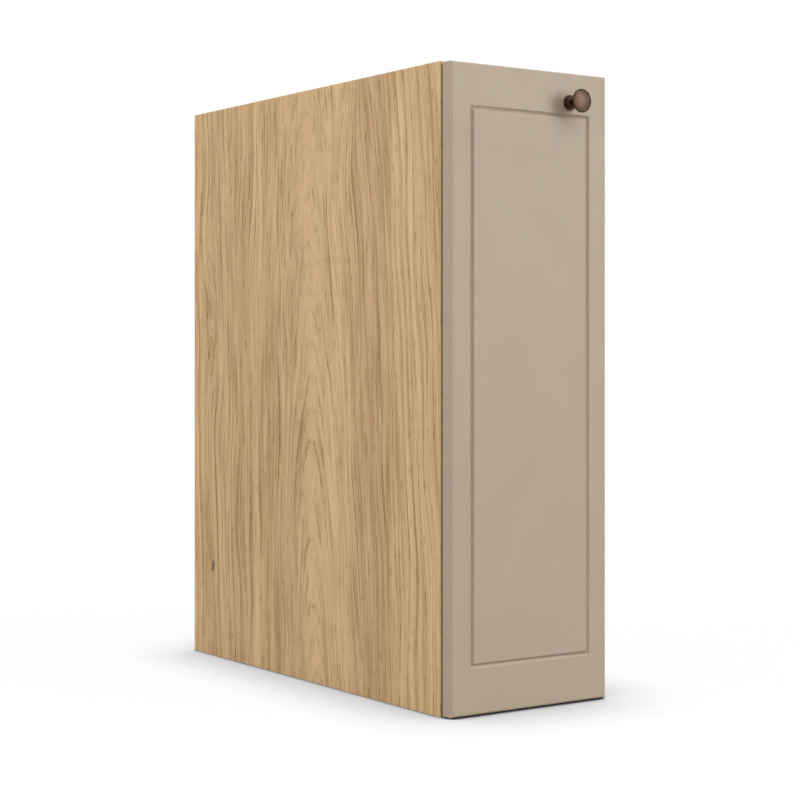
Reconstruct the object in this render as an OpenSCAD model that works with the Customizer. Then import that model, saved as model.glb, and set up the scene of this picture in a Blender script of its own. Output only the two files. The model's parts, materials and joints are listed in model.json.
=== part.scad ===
// Narrow kitchen base cabinet with one left-hung door
// Origin: middle of the footprint on the floor. The front faces -Y and the height runs along +Z.

/* [Carcass] */
// Width over the two side panels
carcass_w = 225; // [200:5:300]
// Depth of the side panels, edge band included
carcass_d = 560; // [500:5:600]
// Height of the side panels
carcass_h = 720; // [640:5:780]
// Thickness of the carcass boards
board_t = 16; // [15:0.5:18]
// Thickness of the edge bands
band_t = 1; // [0.5:0.1:2]
// Depth of each top rail, front to back
rail_d = 100; // [80:5:120]
// Radius of the worktop screw holes in the rails
worktop_hole_r = 2.5; // [2:0.25:3]
// Distance between the two worktop screw holes of a rail
worktop_hole_pitch = 120; // [80:5:140]

/* [Back panel] */
// Thickness of the back panel
back_t = 3; // [2.5:0.1:4]
// Distance from the rear edges of the sides to the back panel
back_inset = 18; // [12:1:30]
// Depth of the groove that holds the back panel
slot_depth = 7; // [5:0.5:9]
// Free play of the back panel in its groove
slot_play = 0.1; // [0.05:0.05:0.3]

/* [Shelf] */
// Height of the underside of the shelf
shelf_z = 352; // [300:1:420]
// Distance from the front of the carcass to the front of the shelf
shelf_setback = 15; // [5:1:40]
// Gap at each end of the shelf
shelf_side_gap = 0.5; // [0.3:0.1:1.5]
// Gap between the shelf and the back panel
shelf_rear_gap = 3; // [1:0.5:10]
// Diameter of the shelf pins
shelf_pin_d = 5; // [4:0.5:6]
// Number of pin holes above and below the used one
spare_rows = 3; // [1:1:4]

/* [Door] */
// Thickness of the door
door_t = 16; // [16:0.5:19]
// Distance from each door edge to the carcass outline
door_margin = 1.5; // [1:0.25:2.5]
// Gap between the door and the carcass front
door_gap = 2; // [1.75:0.25:3]
// Radius of the rounded front edges
edge_round = 2.5; // [1:0.25:4]
// Diameter of the bumper pads
bumper_d = 8; // [6:0.5:10]

/* [Routed frame] */
// Width of the routed groove at the face
groove_w = 6; // [5:0.5:10]
// Depth of the routed groove
groove_cut = 2.5; // [1.5:0.25:3]
// Groove bottom to the side edges of the door
groove_side = 28; // [24:0.5:45]
// Groove bottom to the top edge of the door
groove_top = 49.5; // [48:0.5:80]
// Groove bottom to the bottom edge of the door
groove_bottom = 54; // [40:0.5:80]

/* [Knob] */
// Diameter of the knob head
knob_d = 27; // [22:0.5:32]
// Diameter of the rosette under the knob
rosette_d = 18; // [16:0.5:20]
// How far the knob stands out from the door
knob_reach = 24; // [20:0.5:30]
// Knob centre to the free edge of the door
knob_from_edge = 54.5; // [45:0.5:80]
// Knob centre to the top edge of the door
knob_from_top = 33.7; // [30:0.1:34]
// Diameter of the knob screw
knob_screw_d = 4; // [3.5:0.25:5]

/* [Hinges] */
// Hinge centre to the nearer end of the door
hinge_inset = 100; // [80:1:140]
// Board left between the hinge cup and the door edge
cup_edge = 5; // [4:0.5:6]
// Diameter of the cup bore
cup_d = 35; // [34.5:0.25:36]
// Depth of the cup bore
cup_depth = 12; // [11.75:0.25:12.5]
// Thickness of the cup flange on the door
flange_t = 1; // [0.6:0.1:1.2]
// Distance between the two cup screws
cup_screw_pitch = 45; // [42:0.5:48]
// Front of the carcass to the row of system holes
plate_setback = 37; // [35:0.5:40]
// Pitch of the system holes
system_pitch = 32; // [30:1:34]
// Diameter of the hinge pins
hinge_pin_d = 2.5; // [2:0.1:2.6]
// Radial running clearance of a link on its pin
pin_play = 0.05; // [0.02:0.01:0.1]

/* [Carcass fittings] */
// Diameter of the wooden dowels
dowel_d = 8; // [6:0.5:8]
// Length of the wooden dowels
dowel_l = 30; // [26:1:32]
// Diameter of the cam locks
cam_d = 15; // [12:0.5:15]
// Cam centre to the end of its board
cam_setback = 34; // [30:1:36]
// Spacing of a cam bolt from its dowel
fitting_pitch = 32; // [28:1:36]
// Cam bolt to the front or rear edge of the bottom panel
cam_inset = 50; // [45:1:70]

/* [Hidden] */
$fn = 64;
eps = 0.01;
inner_x = carcass_w / 2 - board_t;
front_y = -carcass_d / 2;
rear_y = carcass_d / 2;
back_y = rear_y - back_inset - back_t;
left_x = -carcass_w / 2;
fit_play = 0.05;
strip_step = 0.04;

door_w = carcass_w - 2 * door_margin;
door_h = carcass_h - 2 * door_margin;
door_back_y = front_y - door_gap;
door_face_y = door_back_y - door_t;
knob_x = door_w / 2 - knob_from_edge;
knob_z = door_margin + door_h - knob_from_top;
knob_bore_r = knob_screw_d / 2 + 0.5;
knob_thread_depth = 9;
rosette_h = 3.4;
bumper_t = door_gap - 0.2;
bumper_inset = 14;

slot_end_gap = 0.5;
back_screw_r = 1.6;
back_screw_l = 20;
back_screw_inset = 25;

side_hole_depth = 12;
bolt_r = 2.5;
bolt_bore_r = 4;
bolt_y_front = front_y + cam_inset;
bolt_y_rear = back_y - cam_inset;
rail_front_mid_y = front_y + rail_d / 2;
rail_rear_mid_y = back_y - rail_d / 2;
rail_z = carcass_h - board_t;
cam_r = cam_d / 2 - 0.1;
cam_height = 12.5;
cam_pocket = 13;
cam_mouth_r = 3.4;
cam_recess = 2.5;
dowel_side_depth = 11;
dowel_spare = 1;

shelf_pin_r = shelf_pin_d / 2;
shelf_pin_z = shelf_z - shelf_pin_r;
pin_front_y = front_y + plate_setback;
pin_rear_y = back_y - plate_setback;
pin_hole_depth = 10;
shelf_y = front_y + shelf_setback;

// Hinge pivots in plan, measured from the cup centre and from the cup mouth:
// the two arm pivots, then the two cup pivots with the door closed
arm_pivot_outer = [15, 14.5];
arm_pivot_inner = [12, -1.3];
cup_pivot_outer = [-12, -2];
cup_pivot_inner = [-10.6, -6.8];
// Bends of the two links, in the same plan
outer_bends = [[-7.5, -3.9], [-0.2, 2.4]];
inner_bends = [[-1.9, -7.3], [5.4, -4.6]];
// The inner link's cup eye is bored wide: here the linkage is opened
open_eye_shift = [-0.15, 0.15];
open_eye_play = 1.55;
cup_x = door_margin + cup_edge + cup_d / 2;
mouth_y = -door_gap;
hinge_z = [door_margin + hinge_inset, door_margin + door_h - hinge_inset];
pin_r = hinge_pin_d / 2;
cup_wall = 0.6;
cup_shell_r = cup_d / 2 - 0.1;
cup_inner_r = cup_shell_r - cup_wall;
cup_shell_h = cup_depth - 0.2;
flange_r = 20;
inner_link_w = 8;
inner_link_r = 1.2;
inner_eye_r = 2.6;
open_eye_wall = 0.7;
link_r = 1.8;
link_web_r = 1.4;
cup_eye_r = 2.6;
arm_eye_r = 3;
link_plate_t = 1.6;
link_plate_z = 4.4;
link_bridge_w = 2 * link_plate_z + link_plate_t;
sleeve_r = 2.6;
spring_w = 8;
arm_nose_r = 2.1;
arm_wall_t = 1.2;
arm_wall_z = 6.4;
arm_width = 2 * (arm_wall_z + arm_wall_t);
arm_bend_y = 8;
arm_throat = 1.5;
cheek_z = 6.3;
cheek_end = 3.6;
pin_len = 17.6;
plate_t = 2;
plate_top = board_t + plate_t;
boss_h = 6;
boss_w = 12.4;
arm_tail_y = 58;
arm_heel_y = 28;
arm_tail_h = 9;
arm_top = 4.5;
arm_web_t = 1.2;
arm_screw_y = 50;
adjust_screw_y = 36;
arm_screw_r = 2;
arm_screw_hole_r = 2.2;
plate_head = [24, 2];
plate_wing_r = 6;
plate_screw_r = 2.5;
cup_screw_r = 1.6;
cup_screw_l = 10;
cup_screw_offset = 9.5;
flange_ear_r = 5.5;
spring_t = 0.8;
spring_play = 0.3;

oak = "#c09f78";
front_colour = "#b8a795";
dark_bronze = "#5b4638";
zinc = "#b9bcc0";
steel = "#8d9196";
beech = "#d8b98c";
hardboard = "#a88762";
clear_pad = "#dfe3e4";

// Helpers

// Cylinder along X, from x = 0 towards +X
module bar_x(r, h) {
    rotate([0, 90, 0]) cylinder(r = r, h = h);
}

// Cylinder along Y, from y = 0 towards -Y
module bar_front(r, h) {
    rotate([90, 0, 0]) cylinder(r = r, h = h);
}

// Copies to the left and to the right of the middle plane
module both_sides() {
    children();
    mirror([1, 0, 0]) children();
}

// Cross recess cut into a screw head, along +Z from the origin
module cross_recess(size, depth) {
    for (turn = [0, 90])
        rotate([0, 0, turn]) translate([-size / 2, -size / 8, -depth])
            cube([size, size / 4, depth + 1]);
}

// Straight strip between two plan points, with round ends a hair wider than its sides
module strip(a, b, r) {
    run = b - a;
    half = r - strip_step;
    translate(a) rotate(atan2(run[1], run[0])) translate([0, -half]) square([norm(run), 2 * half]);
    translate(a) circle(r);
    translate(b) circle(r);
}

// Places of the cam bolts on the right-hand side panel, as [y, z]
function bolt_places() = [
    [bolt_y_front, board_t / 2],
    [bolt_y_rear, board_t / 2],
    [rail_front_mid_y - fitting_pitch / 2, carcass_h - board_t / 2],
    [rail_rear_mid_y - fitting_pitch / 2, carcass_h - board_t / 2]];

// Places of the dowels on the right-hand side panel, as [y, z]
function dowel_places() = [
    [bolt_y_front + fitting_pitch, board_t / 2],
    [bolt_y_rear - fitting_pitch, board_t / 2],
    [rail_front_mid_y + fitting_pitch / 2, carcass_h - board_t / 2],
    [rail_rear_mid_y + fitting_pitch / 2, carcass_h - board_t / 2]];

// Holes that the bolts and dowels need, in the sides and in the boards between them
module joint_holes() {
    both_sides() {
        for (place = bolt_places()) {
            translate([inner_x - eps, place[0], place[1]]) bar_x(bolt_r + fit_play, side_hole_depth + eps);
            translate([inner_x - cam_setback, place[0], place[1]]) bar_x(bolt_bore_r, cam_setback);
        }
        for (place = dowel_places())
            translate([inner_x + dowel_side_depth - dowel_l - dowel_spare, place[0], place[1]])
                bar_x(dowel_d / 2 + fit_play, dowel_l + dowel_spare);
    }
}

// Pockets for the cam locks: under the bottom panel and in the tops of the rails
module cam_pockets() {
    both_sides() for (place = bolt_places())
        translate([inner_x - cam_setback, place[0], place[1] < board_t ? -eps : carcass_h - cam_pocket])
            cylinder(d = cam_d, h = cam_pocket + eps);
}

// Groove that holds the back panel in the sides and in the bottom
module back_slot() {
    translate([-inner_x - slot_depth, back_y - slot_play, board_t - slot_depth])
        cube([2 * (inner_x + slot_depth), back_t + 2 * slot_play, carcass_h]);
}

// Carcass

// Right-hand side panel with its grooves, bolt holes and shelf pin holes
module side_panel() {
    difference() {
        translate([inner_x, front_y + band_t, 0]) cube([board_t, carcass_d - band_t, carcass_h]);
        back_slot();
        joint_holes();
        for (y = [pin_front_y, pin_rear_y], row = [-spare_rows:spare_rows])
            translate([inner_x - eps, y, shelf_pin_z + row * system_pitch])
                bar_x(shelf_pin_r, pin_hole_depth + eps);
    }
}

module right_side_panel() {
    color(oak) side_panel();
}

// The left side also takes the screws of the two mounting plates
module left_side_panel() {
    color(oak) difference() {
        mirror([1, 0, 0]) side_panel();
        for (z = hinge_z, up = [-0.5, 0.5])
            translate([left_x + board_t - side_hole_depth, pin_front_y, z + up * system_pitch])
                bar_x(plate_screw_r + fit_play, side_hole_depth + eps);
    }
}

module bottom_panel() {
    color(oak) difference() {
        translate([-inner_x, front_y + band_t, 0]) cube([2 * inner_x, carcass_d - band_t, board_t]);
        back_slot();
        joint_holes();
        cam_pockets();
    }
}

// A flat rail under the worktop, between two depths
module top_rail(y_low, y_high, y_mid) {
    color(oak) difference() {
        translate([-inner_x, y_low, rail_z]) cube([2 * inner_x, y_high - y_low, board_t]);
        joint_holes();
        cam_pockets();
        both_sides() translate([worktop_hole_pitch / 2, y_mid, rail_z - eps])
            cylinder(r = worktop_hole_r, h = board_t + 2 * eps);
        back_screw_places() bar_front(back_screw_r + fit_play, back_screw_l);
    }
}

module front_top_rail() {
    top_rail(front_y + band_t, front_y + rail_d, rail_front_mid_y);
}

module rear_top_rail() {
    top_rail(back_y - rail_d, back_y, rail_rear_mid_y);
}

// Hardboard back, held in the grooves and screwed to the rear rail
module back_panel() {
    reach = inner_x + slot_depth - slot_end_gap;
    foot_z = board_t - slot_depth + slot_end_gap;
    color(hardboard) difference() {
        translate([-reach, back_y, foot_z]) cube([2 * reach, back_t, carcass_h - foot_z]);
        back_screw_places() bar_front(back_screw_r + fit_play, back_screw_l);
    }
}

module back_screw_places() {
    both_sides() translate([inner_x - back_screw_inset, back_y + back_t, carcass_h - board_t / 2]) children();
}

module back_screws() {
    head_r = 3.6;
    head_h = 1.8;
    color(zinc) back_screw_places() {
        bar_front(back_screw_r, back_screw_l - 1);
        difference() {
            mirror([0, 1, 0]) bar_front(head_r, head_h);
            translate([0, head_h, 0]) rotate([-90, 0, 0]) cross_recess(head_r * 1.1, head_h * 0.6);
        }
    }
}

// A strip of edge band on the front of a board
module edge_band(x_low, x_high, y, z_low, z_high) {
    color(oak) translate([x_low, y, z_low]) cube([x_high - x_low, band_t, z_high - z_low]);
}

module left_edge_band() {
    edge_band(left_x, left_x + board_t, front_y, 0, carcass_h);
}

module right_edge_band() {
    edge_band(inner_x, inner_x + board_t, front_y, 0, carcass_h);
}

module bottom_edge_band() {
    edge_band(-inner_x, inner_x, front_y, 0, board_t);
}

module rail_edge_band() {
    edge_band(-inner_x, inner_x, front_y, rail_z, carcass_h);
}

module shelf_edge_band() {
    reach = inner_x - shelf_side_gap;
    edge_band(-reach, reach, shelf_y, shelf_z, shelf_z + board_t);
}

module shelf() {
    reach = inner_x - shelf_side_gap;
    length = back_y - shelf_rear_gap - shelf_y - band_t;
    color(oak) translate([-reach, shelf_y + band_t, shelf_z]) cube([2 * reach, length, board_t]);
}

// Pins with a flat-topped head that carries the shelf
module shelf_pins() {
    head_r = 5;
    head_l = 7;
    color(zinc) both_sides() for (y = [pin_front_y, pin_rear_y])
        translate([inner_x, y, shelf_pin_z]) {
            bar_x(shelf_pin_r - fit_play, pin_hole_depth - 0.5);
            difference() {
                translate([-head_l, 0, 0]) bar_x(head_r, head_l);
                translate([-head_l - 1, -head_r - 1, shelf_pin_r])
                    cube([head_l + 2, 2 * head_r + 2, head_r]);
            }
        }
}

module dowels() {
    color(beech) both_sides() for (place = dowel_places())
        translate([inner_x + dowel_side_depth - 0.5, place[0], place[1]])
            mirror([1, 0, 0]) bar_x(dowel_d / 2, dowel_l - 0.5);
}

// Bolts screwed into the sides, each with a head that its cam lock grips
module cam_bolts() {
    neck_r = 2;
    head_r = 3;
    collar_h = 2;
    color(zinc) both_sides() for (place = bolt_places()) translate([inner_x, place[0], place[1]]) {
        bar_x(bolt_r, side_hole_depth - 1);
        mirror([1, 0, 0]) {
            bar_x(bolt_bore_r - 0.2, collar_h);
            bar_x(neck_r, cam_setback);
            translate([cam_setback - 1, 0, 0]) bar_x(head_r, 3);
        }
    }
}

// Cam lock on a board face, with an opening that takes the head of the bolt
module cam_lock(axis_z, face_z) {
    faces_up = face_z > axis_z;
    difference() {
        translate([0, 0, faces_up ? face_z - cam_height : face_z])
            cylinder(r = cam_r, h = cam_height);
        translate([-cam_mouth_r, 0, axis_z]) bar_x(cam_mouth_r, cam_d);
        translate([0, 0, face_z]) mirror([0, 0, faces_up ? 0 : 1])
            cross_recess(cam_d * 0.55, cam_recess);
    }
}

module cam_locks() {
    color(zinc) both_sides() for (place = bolt_places())
        translate([inner_x - cam_setback, place[0], 0])
            cam_lock(place[1], place[1] < board_t ? 0 : carcass_h);
}

// Door

// Cutter that leaves a rounded edge along +Z, with the board at +X and +Y
module round_cutter(length) {
    translate([0, 0, -1]) linear_extrude(length + 2) difference() {
        translate([-1, -1]) square(edge_round + 1);
        translate([edge_round, edge_round]) circle(edge_round);
    }
}

// V-shaped cutter along +X, its bottom in the board behind the face at y = 0
module groove_cutter(length) {
    slope = groove_w / 2 / groove_cut;
    over = 1;
    rotate([90, 0, 90]) linear_extrude(length)
        polygon([[-over, -(groove_w / 2 + slope * over)], [groove_cut, 0],
            [-over, groove_w / 2 + slope * over]]);
}

// The same cutter turned on the spot, which rounds the outer corners of the frame
module groove_corner() {
    slope = groove_w / 2 / groove_cut;
    over = 1;
    translate([0, groove_cut, 0]) rotate([90, 0, 0])
        cylinder(r1 = 0, r2 = slope * (groove_cut + over), h = groove_cut + over);
}

// The routed rectangle on the front of the door
module routed_frame() {
    low_x = -door_w / 2 + groove_side;
    high_x = door_w / 2 - groove_side;
    low_z = door_margin + groove_bottom;
    high_z = door_margin + door_h - groove_top;
    translate([0, door_face_y, 0]) {
        for (z = [low_z, high_z])
            translate([low_x, 0, z]) groove_cutter(high_x - low_x);
        for (x = [low_x, high_x]) {
            translate([x, 0, high_z]) rotate([0, 90, 0]) groove_cutter(high_z - low_z);
            for (z = [low_z, high_z]) translate([x, 0, z]) groove_corner();
        }
    }
}

module door_panel() {
    low = [-door_w / 2, door_face_y, door_margin];
    high = [door_w / 2, door_back_y, door_margin + door_h];
    color(front_colour) difference() {
        translate(low) cube(high - low);
        translate(low) round_cutter(door_h);
        translate([high[0], low[1], low[2]]) mirror([1, 0, 0]) round_cutter(door_h);
        translate(low) rotate([90, 0, 90]) round_cutter(door_w);
        translate([low[0], low[1], high[2]]) mirror([0, 0, 1]) rotate([90, 0, 90])
            round_cutter(door_w);
        routed_frame();
        translate([knob_x, door_back_y + eps, knob_z]) bar_front(knob_bore_r, door_t + 2 * eps);
        for (z = hinge_z) at_hinge(z) {
            translate([cup_x, mouth_y + eps, 0]) bar_front(cup_d / 2, cup_depth + eps);
            cup_screw_places() bar_front(cup_screw_r + fit_play, cup_screw_l);
        }
    }
}

module door_bumpers() {
    color(clear_pad) for (z = [door_margin + bumper_inset, door_margin + door_h - bumper_inset])
        translate([inner_x + board_t / 2 - door_margin / 2, door_back_y + bumper_t, z])
            bar_front(bumper_d / 2, bumper_t);
}

// Outline of the rosette: radius along X, height above the door along Y
module rosette_outline() {
    foot_r = rosette_d / 2;
    difference() {
        union() {
            square([foot_r - 0.6, 1.2]);
            translate([0, 0]) square([foot_r, 0.6]);
            translate([foot_r - 0.6, 0.6]) circle(0.6);
            square([foot_r - 2, rosette_h - 0.8]);
            square([foot_r - 2.8, rosette_h]);
            translate([foot_r - 2.8, rosette_h - 0.8]) circle(0.8);
        }
        translate([-1, -1]) square([knob_bore_r + 1, rosette_h + 2]);
        translate([0, -2]) square([foot_r + 1, 2]);
    }
}

module knob_rosette() {
    color(dark_bronze) translate([knob_x, door_face_y, knob_z]) rotate([90, 0, 0])
        rotate_extrude() rosette_outline();
}

// Outline of the knob above the rosette
module knob_outline() {
    rim_r = 1.5;
    head_r = knob_d / 2;
    dome_h = 3;
    dome_r = (pow(head_r - rim_r, 2) + pow(dome_h, 2)) / 2 / dome_h;
    rim_h = knob_reach - dome_h - rim_r * 0.4;
    neck_r = rosette_d / 2 - 5;
    foot_r = rosette_d / 2 - 3.6;
    intersection() {
        union() {
            intersection() {
                translate([0, knob_reach - dome_r]) circle(dome_r, $fn = 180);
                translate([0, rim_h]) square([head_r - rim_r, knob_reach]);
            }
            translate([head_r - rim_r, rim_h]) circle(rim_r);
            polygon([[0, rosette_h], [foot_r, rosette_h], [foot_r, rosette_h + 1],
                [neck_r, rosette_h + 3], [neck_r, rosette_h + 6.5],
                [neck_r + 2.2, rosette_h + 9.5], [head_r - rim_r, rim_h - rim_r],
                [head_r - rim_r, rim_h + 0.1], [0, rim_h + 0.1]]);
        }
        square([head_r + 1, knob_reach + 1]);
    }
}

module knob() {
    color(dark_bronze) translate([knob_x, door_face_y, knob_z]) rotate([90, 0, 0]) difference() {
        rotate_extrude() knob_outline();
        translate([0, 0, rosette_h - eps]) cylinder(r = knob_screw_d / 2 + fit_play, h = knob_thread_depth);
    }
}

// Machine screw from inside the door into the knob
module knob_screw() {
    head_r = knob_screw_d;
    head_h = 2.2;
    color(zinc) translate([knob_x, door_back_y, knob_z]) {
        bar_front(knob_screw_d / 2, door_t + rosette_h + knob_thread_depth - 1);
        difference() {
            mirror([0, 1, 0]) bar_front(head_r, head_h);
            translate([0, head_h, 0]) rotate([-90, 0, 0]) cross_recess(head_r * 1.2, head_h * 0.6);
        }
    }
}

// Hinges, drawn in plan: x from the left face of the carcass, y back from its front, z from the hinge centre

module at_hinge(z) {
    translate([left_x, front_y, z]) children();
}

// Plan point of a pivot or bend that is given from the cup centre and mouth
function plan(p) = [cup_x + p[0], mouth_y + p[1]];

arm_a = plan(arm_pivot_outer);
arm_b = plan(arm_pivot_inner);
cup_c = plan(cup_pivot_outer);
cup_d_pivot = plan(cup_pivot_inner);
tail_x = plate_top + arm_tail_h;

module cup_screw_places() {
    for (up = [-0.5, 0.5])
        translate([cup_x + cup_screw_offset, mouth_y + flange_t, up * cup_screw_pitch]) children();
}

// Side view of one arm wall
module arm_outline() {
    difference() {
        union() {
            strip(arm_a, arm_b, arm_nose_r);
            translate(arm_a) circle(arm_eye_r);
            polygon([arm_a + [-2.6, -arm_throat], arm_a + [arm_top, -arm_throat],
                arm_a + [arm_top, arm_bend_y], [tail_x, arm_tail_y],
                [plate_top, arm_tail_y], [plate_top, arm_heel_y],
                arm_a + [-9, 7]]);
        }
        for (p = [arm_a, arm_b]) translate(p) circle(pin_r + fit_play);
    }
}

// Back of the arm's channel, over the links
module arm_web_outline() {
    polygon([arm_a + [arm_top - arm_web_t, -arm_throat], arm_a + [arm_top, -arm_throat],
        arm_a + [arm_top, arm_bend_y], [tail_x, arm_tail_y],
        [tail_x - arm_web_t, arm_tail_y], arm_a + [arm_top - arm_web_t, arm_bend_y - 0.4]]);
}

// Point on the outer face of the sloping web at a distance back from the front
function web_x(y) =
    let (top = arm_a[0] + arm_top, start = arm_a[1] + arm_bend_y)
    top + (tail_x - top) * (y - start) / (arm_tail_y - start);

module hinge_arm(z) {
    color(zinc) at_hinge(z) difference() {
        union() {
            for (side = [0, 1]) mirror([0, 0, side])
                translate([0, 0, arm_wall_z]) linear_extrude(arm_wall_t) arm_outline();
            linear_extrude(arm_width, center = true) arm_web_outline();
        }
        for (y = [arm_screw_y, adjust_screw_y])
            translate([0, y, 0]) bar_x(arm_screw_hole_r, carcass_w);
    }
}

module arm_pins(z) {
    color(steel) at_hinge(z) for (p = [arm_a, arm_b])
        translate([p[0], p[1], -arm_width / 2]) cylinder(r = pin_r, h = arm_width);
}

// Fixing screw at the back and side-adjusting screw in front, through the web into the plate
module arm_screws(z) {
    head_r = 3.4;
    head_h = 1.6;
    color(steel) at_hinge(z) for (y = [arm_screw_y, adjust_screw_y]) {
        seat = web_x(y - head_r);
        translate([plate_top + 1, y, 0]) bar_x(arm_screw_r, seat - plate_top - 1);
        difference() {
            translate([seat, y, 0]) bar_x(head_r, head_h);
            translate([seat + head_h, y, 0]) rotate([0, 90, 0]) cross_recess(head_r * 1.2, 1);
        }
    }
}

// Plate on the side panel, with wings for its screws and a raised block that the arm sits over
module mounting_plate(z) {
    color(zinc) at_hinge(z) difference() {
        union() {
            translate([board_t, 0, 0]) rotate([0, 90, 0]) rotate([0, 0, 90])
                linear_extrude(plate_t) union() {
                    translate([arm_heel_y, -plate_head[0] / 2])
                        square([arm_tail_y + plate_head[1] - arm_heel_y, plate_head[0]]);
                    strip([plate_setback, -system_pitch / 2], [plate_setback, system_pitch / 2],
                        plate_wing_r);
                }
            translate([board_t, arm_heel_y + 2, -boss_w / 2])
                cube([plate_t + boss_h, arm_tail_y - arm_heel_y - 2, boss_w]);
        }
        for (up = [-0.5, 0.5])
            translate([board_t - eps, plate_setback, up * system_pitch])
                bar_x(plate_screw_r + fit_play, plate_t + 2 * eps);
        for (y = [arm_screw_y, adjust_screw_y])
            translate([plate_top - 1, y, 0]) bar_x(arm_screw_r + fit_play, boss_h + 2);
    }
}

module plate_screws(z) {
    head_r = 4.2;
    head_h = 1.8;
    color(steel) at_hinge(z) for (up = [-0.5, 0.5])
        translate([plate_top, plate_setback, up * system_pitch]) {
            translate([1 - plate_t - side_hole_depth, 0, 0])
                bar_x(plate_screw_r, side_hole_depth + plate_t - 1);
            difference() {
                bar_x(head_r, head_h);
                translate([head_h, 0, 0]) rotate([0, 90, 0]) cross_recess(head_r * 1.2, 1.2);
            }
        }
}

// Leaf spring under the web that presses on the sleeve of the outer link
module leaf_spring(z) {
    touch = arm_a[1] + sleeve_r + spring_play + spring_t / 2;
    slope_y = arm_a[1] + 12;
    clamp = [web_x(arm_screw_y + 4) - arm_web_t - 0.7, arm_screw_y + 4];
    knee = [web_x(slope_y) - arm_web_t - 1.2, slope_y];
    color(steel) at_hinge(z) difference() {
        linear_extrude(spring_w, center = true) {
            strip([arm_a[0] - 2.5, touch], [arm_a[0] + 1.2, touch], spring_t / 2);
            strip([arm_a[0] + 1.2, touch], knee, spring_t / 2);
            strip(knee, clamp, spring_t / 2);
        }
        for (y = [arm_screw_y, adjust_screw_y])
            translate([0, y, 0]) bar_x(arm_screw_hole_r, carcass_w);
    }
}

// Two side plates joined by a sleeve on the arm pin and by a web
module outer_link(z) {
    bends = [for (p = outer_bends) plan(p)];
    run = arm_a - bends[1];
    color(zinc) at_hinge(z) difference() {
        union() {
            for (side = [0, 1]) mirror([0, 0, side]) translate([0, 0, link_plate_z])
                linear_extrude(link_plate_t) {
                    strip(cup_c, bends[0], link_r);
                    strip(bends[0], bends[1], link_r);
                    strip(bends[1], arm_a, link_r);
                    translate(cup_c) circle(cup_eye_r);
                    translate(arm_a) circle(arm_eye_r);
                }
            linear_extrude(link_bridge_w, center = true) {
                translate(arm_a) circle(sleeve_r);
                strip(bends[1] + run * 0.5, bends[1] + run * 0.85, link_web_r);
            }
        }
        for (p = [cup_c, arm_a]) translate([p[0], p[1], -cup_d / 2])
            cylinder(r = pin_r + pin_play, h = cup_d);
    }
}

// Single link with a wide eye round the inner cup pin
module inner_link(z) {
    bends = [for (p = inner_bends) plan(p)];
    eye = cup_d_pivot + open_eye_shift;
    color(steel) at_hinge(z) linear_extrude(inner_link_w, center = true) difference() {
        union() {
            strip(eye, bends[0], inner_link_r);
            strip(bends[0], bends[1], inner_link_r);
            strip(bends[1], arm_b, inner_link_r);
            translate(eye) circle(pin_r + open_eye_play + open_eye_wall);
            translate(arm_b) circle(inner_eye_r);
        }
        translate(eye) circle(pin_r + open_eye_play);
        translate(arm_b) circle(pin_r + pin_play);
    }
}

// Cup with a flange on the door, and two cheeks that hold the pins
module hinge_cup(z) {
    cheek_x = cup_d_pivot[0] + cheek_end;
    color(zinc) at_hinge(z) difference() {
        union() {
            translate([cup_x, mouth_y, 0]) bar_front(cup_shell_r, cup_shell_h);
            translate([cup_x, mouth_y + flange_t, 0]) rotate([90, 0, 0]) linear_extrude(flange_t) {
                circle(flange_r);
                strip([cup_screw_offset, -cup_screw_pitch / 2],
                    [cup_screw_offset, cup_screw_pitch / 2], flange_ear_r);
            }
        }
        difference() {
            translate([cup_x, mouth_y + flange_t + eps, 0])
                bar_front(cup_inner_r, cup_shell_h - cup_wall + flange_t + eps);
            for (side = [0, 1]) mirror([0, 0, side])
                translate([0, mouth_y - cup_depth, cheek_z]) cube([cheek_x, cup_depth, cup_d]);
        }
        for (p = [cup_c, cup_d_pivot]) translate([p[0], p[1], -pin_len / 2 - fit_play])
            cylinder(r = pin_r + fit_play, h = pin_len + 2 * fit_play);
        cup_screw_places() translate([0, eps, 0]) bar_front(cup_screw_r + fit_play, flange_t + 2 * eps);
    }
}

// Two short pins of the outer link and the long pin of the inner link
module cup_pins(z) {
    stub = pin_len / 2 - link_plate_z - 0.1;
    color(steel) at_hinge(z) {
        for (side = [0, 1]) mirror([0, 0, side])
            translate([cup_c[0], cup_c[1], link_plate_z + 0.1]) cylinder(r = pin_r, h = stub);
        translate([cup_d_pivot[0], cup_d_pivot[1], -pin_len / 2]) cylinder(r = pin_r, h = pin_len);
    }
}

module cup_screws(z) {
    head_r = 3.4;
    head_h = 1.2;
    color(steel) at_hinge(z) cup_screw_places() {
        bar_front(cup_screw_r, cup_screw_l - 1);
        difference() {
            mirror([0, 1, 0]) bar_front(head_r, head_h);
            translate([0, head_h, 0]) rotate([-90, 0, 0]) cross_recess(head_r * 1.2, 0.8);
        }
    }
}

left_side_panel();
right_side_panel();
bottom_panel();
front_top_rail();
rear_top_rail();
back_panel();
shelf();
shelf_pins();
left_edge_band();
right_edge_band();
bottom_edge_band();
rail_edge_band();
shelf_edge_band();
dowels();
cam_bolts();
cam_locks();
back_screws();
door_panel();
knob_rosette();
knob();
knob_screw();
door_bumpers();
mounting_plate(hinge_z[0]);  // lower_mounting_plate
plate_screws(hinge_z[0]);  // lower_plate_screws
hinge_arm(hinge_z[0]);  // lower_arm
arm_screws(hinge_z[0]);  // lower_arm_screws
arm_pins(hinge_z[0]);  // lower_arm_pins
leaf_spring(hinge_z[0]);  // lower_spring
outer_link(hinge_z[0]);  // lower_outer_link
inner_link(hinge_z[0]);  // lower_inner_link
hinge_cup(hinge_z[0]);  // lower_cup
cup_pins(hinge_z[0]);  // lower_cup_pins
cup_screws(hinge_z[0]);  // lower_cup_screws
mounting_plate(hinge_z[1]);  // upper_mounting_plate
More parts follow.
